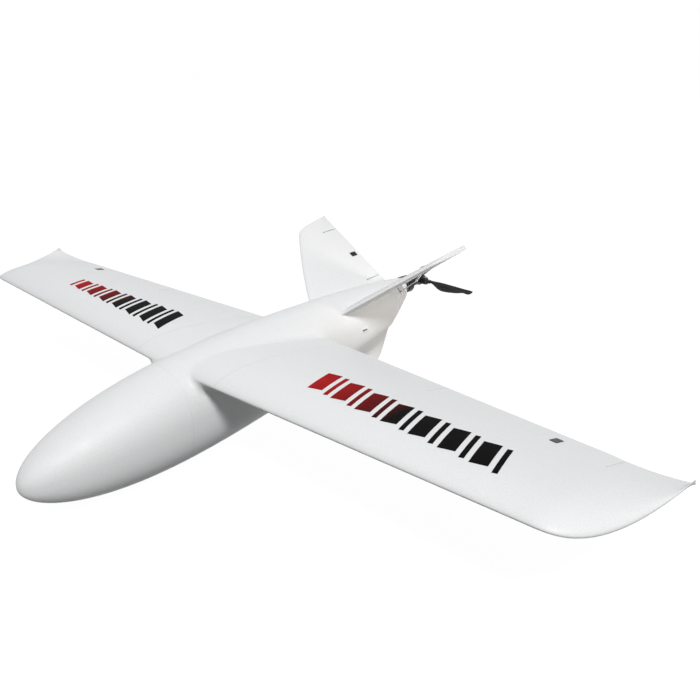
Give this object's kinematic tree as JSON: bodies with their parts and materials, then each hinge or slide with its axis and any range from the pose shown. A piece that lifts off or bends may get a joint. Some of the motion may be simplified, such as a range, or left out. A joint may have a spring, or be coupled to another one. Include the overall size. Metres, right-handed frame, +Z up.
{
  "type": "fixed wing drone",
  "caption": "Foam fixed wing drone with a rounded hollow body, plug-in wings, V-tail, keel fin and a folding pusher propeller, resting on its belly skid and keel.",
  "frame": {"origin": "centre of the bounding box on the ground that the drone rests on", "axes": "+Z up, nose towards -Y, port wing towards +X"},
  "size_m": [1.35, 0.9084, 0.2405],
  "materials": {
    "white_foam": "fine moulded bead foam, matt",
    "white_plastic": "moulded nylon",
    "black_plastic": "moulded, fine grain",
    "servo_plastic": "moulded case",
    "carbon_fibre": "wound tube, clear coat",
    "plywood": "light birch ply",
    "battery_wrap": "shrink wrap",
    "strap_webbing": "woven hook-and-loop",
    "aluminium_case": "turned and anodised",
    "motor_metal": "black anodised",
    "motor_steel": "laminated",
    "steel": "drawn wire and screws",
    "magnet_nickel": "nickel plated",
    "propeller_black": "glass-filled nylon"
  },
  "bodies": {
    "airframe": {"fuselage_port_shell": "white_foam", "fuselage_starboard_shell": "white_foam", "body_magnets": "magnet_nickel", "belly_skid": "black_plastic", "ventral_fin": "white_foam", "equipment_tray": "plywood", "battery_pack": "battery_wrap", "battery_strap": "strap_webbing", "flight_controller": "black_plastic", "radio_receiver": "black_plastic", "speed_controller": "aluminium_case", "main_spar": "carbon_fibre", "rear_spar": "carbon_fibre", "fin_spars": "carbon_fibre", "side_vents": "white_plastic", "port_tail_fin": "white_foam", "starboard_tail_fin": "white_foam", "port_ruddervator_servo": "servo_plastic", "starboard_ruddervator_servo": "servo_plastic", "motor_mount": "black_plastic", "motor_mount_screws": "steel", "motor_stator": "motor_steel"},
    "nose": {"nose_cone": "white_foam", "nose_magnets": "magnet_nickel"},
    "propeller": {"motor_bell": "motor_metal", "propeller_shaft": "steel", "propeller_adapter": "motor_metal", "propeller_hub": "propeller_black", "hub_cap": "motor_metal", "blade_pins": "steel"},
    "port_blade": {"port_blade": "propeller_black"},
    "starboard_blade": {"starboard_blade": "propeller_black"},
    "port_wing": {"port_wing": "white_foam", "port_wing_root_rib": "white_plastic", "port_aileron_servo": "servo_plastic"},
    "port_aileron": {"port_aileron": "white_foam", "port_aileron_control_horn": "white_plastic", "port_aileron_horn_backing_plate": "black_plastic"},
    "port_aileron_servo_arm": {"port_aileron_servo_arm": "white_plastic"},
    "port_aileron_pushrod": {"port_aileron_pushrod": "steel"},
    "port_ruddervator": {"port_ruddervator": "white_foam", "port_ruddervator_control_horn": "white_plastic", "port_ruddervator_horn_backing_plate": "black_plastic"},
    "port_ruddervator_servo_arm": {"port_ruddervator_servo_arm": "white_plastic"},
    "port_ruddervator_pushrod": {"port_ruddervator_pushrod": "steel"},
    "starboard_wing": {"starboard_wing": "white_foam", "starboard_wing_root_rib": "white_plastic", "starboard_aileron_servo": "servo_plastic"},
    "starboard_aileron": {"starboard_aileron": "white_foam", "starboard_aileron_control_horn": "white_plastic", "starboard_aileron_horn_backing_plate": "black_plastic"},
    "starboard_aileron_servo_arm": {"starboard_aileron_servo_arm": "white_plastic"},
    "starboard_aileron_pushrod": {"starboard_aileron_pushrod": "steel"},
    "starboard_ruddervator": {"starboard_ruddervator": "white_foam", "starboard_ruddervator_control_horn": "white_plastic", "starboard_ruddervator_horn_backing_plate": "black_plastic"},
    "starboard_ruddervator_servo_arm": {"starboard_ruddervator_servo_arm": "white_plastic"},
    "starboard_ruddervator_pushrod": {"starboard_ruddervator_pushrod": "steel"}
  },
  "joints": [
    {"name": "nose_cone_pull", "type": "slide", "parent": "airframe", "child": "nose", "axis": [0, -0.9986, 0.0538], "range_m": [0, 0.12]},
    {"name": "port_wing_pull", "type": "slide", "parent": "airframe", "child": "port_wing", "axis": [1, 0, 0], "range_m": [0, 0.26]},
    {"name": "port_aileron_hinge", "type": "hinge", "parent": "port_wing", "child": "port_aileron", "pos_m": [0.318, -0.02156, 0.13536], "axis": [0.9934, -0.1109, 0.0305], "range_deg": [-25, 25]},
    {"name": "port_aileron_servo_turn", "type": "hinge", "parent": "port_wing", "child": "port_aileron_servo_arm", "pos_m": [0.50906, -0.10405, 0.14324], "axis": [0.9934, -0.1109, 0.0305], "range_deg": [-26, 26]},
    {"name": "port_aileron_rod_pivot", "type": "hinge", "parent": "port_aileron_servo_arm", "child": "port_aileron_pushrod", "pos_m": [0.51203, -0.10546, 0.12335], "axis": [0.9934, -0.1109, 0.0305], "range_deg": [-26, 26]},
    {"name": "port_ruddervator_hinge", "type": "hinge", "parent": "airframe", "child": "port_ruddervator", "pos_m": [0.02765, 0.23357, 0.14825], "axis": [0.8379, -0.0128, 0.5457], "range_deg": [-25, 25]},
    {"name": "port_ruddervator_servo_turn", "type": "hinge", "parent": "airframe", "child": "port_ruddervator_servo_arm", "pos_m": [0.08334, 0.18728, 0.17538], "axis": [0.8379, -0.0128, 0.5457], "range_deg": [-26, 26]},
    {"name": "port_ruddervator_rod_pivot", "type": "hinge", "parent": "port_ruddervator_servo_arm", "child": "port_ruddervator_pushrod", "pos_m": [0.09306, 0.18848, 0.16506], "axis": [0.8379, -0.0128, 0.5457], "range_deg": [-26, 26]},
    {"name": "starboard_wing_pull", "type": "slide", "parent": "airframe", "child": "starboard_wing", "axis": [-1, 0, 0], "range_m": [0, 0.26]},
    {"name": "starboard_aileron_hinge", "type": "hinge", "parent": "starboard_wing", "child": "starboard_aileron", "pos_m": [-0.318, -0.02156, 0.13536], "axis": [0.9934, 0.1109, -0.0305], "range_deg": [-25, 25]},
    {"name": "starboard_aileron_servo_turn", "type": "hinge", "parent": "starboard_wing", "child": "starboard_aileron_servo_arm", "pos_m": [-0.50906, -0.10405, 0.14324], "axis": [0.9934, 0.1109, -0.0305], "range_deg": [-26, 26]},
    {"name": "starboard_aileron_rod_pivot", "type": "hinge", "parent": "starboard_aileron_servo_arm", "child": "starboard_aileron_pushrod", "pos_m": [-0.51203, -0.10546, 0.12335], "axis": [0.9934, 0.1109, -0.0305], "range_deg": [-26, 26]},
    {"name": "starboard_ruddervator_hinge", "type": "hinge", "parent": "airframe", "child": "starboard_ruddervator", "pos_m": [-0.02765, 0.23357, 0.14825], "axis": [0.8379, 0.0128, -0.5457], "range_deg": [-25, 25]},
    {"name": "starboard_ruddervator_servo_turn", "type": "hinge", "parent": "airframe", "child": "starboard_ruddervator_servo_arm", "pos_m": [-0.08334, 0.18728, 0.17538], "axis": [0.8379, 0.0128, -0.5457], "range_deg": [-26, 26]},
    {"name": "starboard_ruddervator_rod_pivot", "type": "hinge", "parent": "starboard_ruddervator_servo_arm", "child": "starboard_ruddervator_pushrod", "pos_m": [-0.09306, 0.18848, 0.16506], "axis": [0.8379, 0.0128, -0.5457], "range_deg": [-26, 26]},
    {"name": "propeller_spin", "type": "hinge", "parent": "airframe", "child": "propeller", "pos_m": [0, 0.35036, 0.12342], "axis": [0, 0.9986, -0.0538], "continuous": true},
    {"name": "port_blade_fold", "type": "hinge", "parent": "propeller", "child": "port_blade", "pos_m": [0.014, 0.35036, 0.12342], "axis": [0, 0.0538, 0.9986], "range_deg": [0, 78]},
    {"name": "starboard_blade_fold", "type": "hinge", "parent": "propeller", "child": "starboard_blade", "pos_m": [-0.014, 0.35036, 0.12342], "axis": [0, -0.0538, -0.9986], "range_deg": [-74, 4]}
  ],
  "couplings": [
    {"joint": "port_aileron_servo_turn", "follows": "port_aileron_hinge", "ratio": 1},
    {"joint": "port_aileron_rod_pivot", "follows": "port_aileron_hinge", "ratio": -1},
    {"joint": "port_ruddervator_servo_turn", "follows": "port_ruddervator_hinge", "ratio": 1},
    {"joint": "port_ruddervator_rod_pivot", "follows": "port_ruddervator_hinge", "ratio": -1},
    {"joint": "starboard_aileron_servo_turn", "follows": "starboard_aileron_hinge", "ratio": 1},
    {"joint": "starboard_aileron_rod_pivot", "follows": "starboard_aileron_hinge", "ratio": -1},
    {"joint": "starboard_ruddervator_servo_turn", "follows": "starboard_ruddervator_hinge", "ratio": 1},
    {"joint": "starboard_ruddervator_rod_pivot", "follows": "starboard_ruddervator_hinge", "ratio": -1}
  ]
}
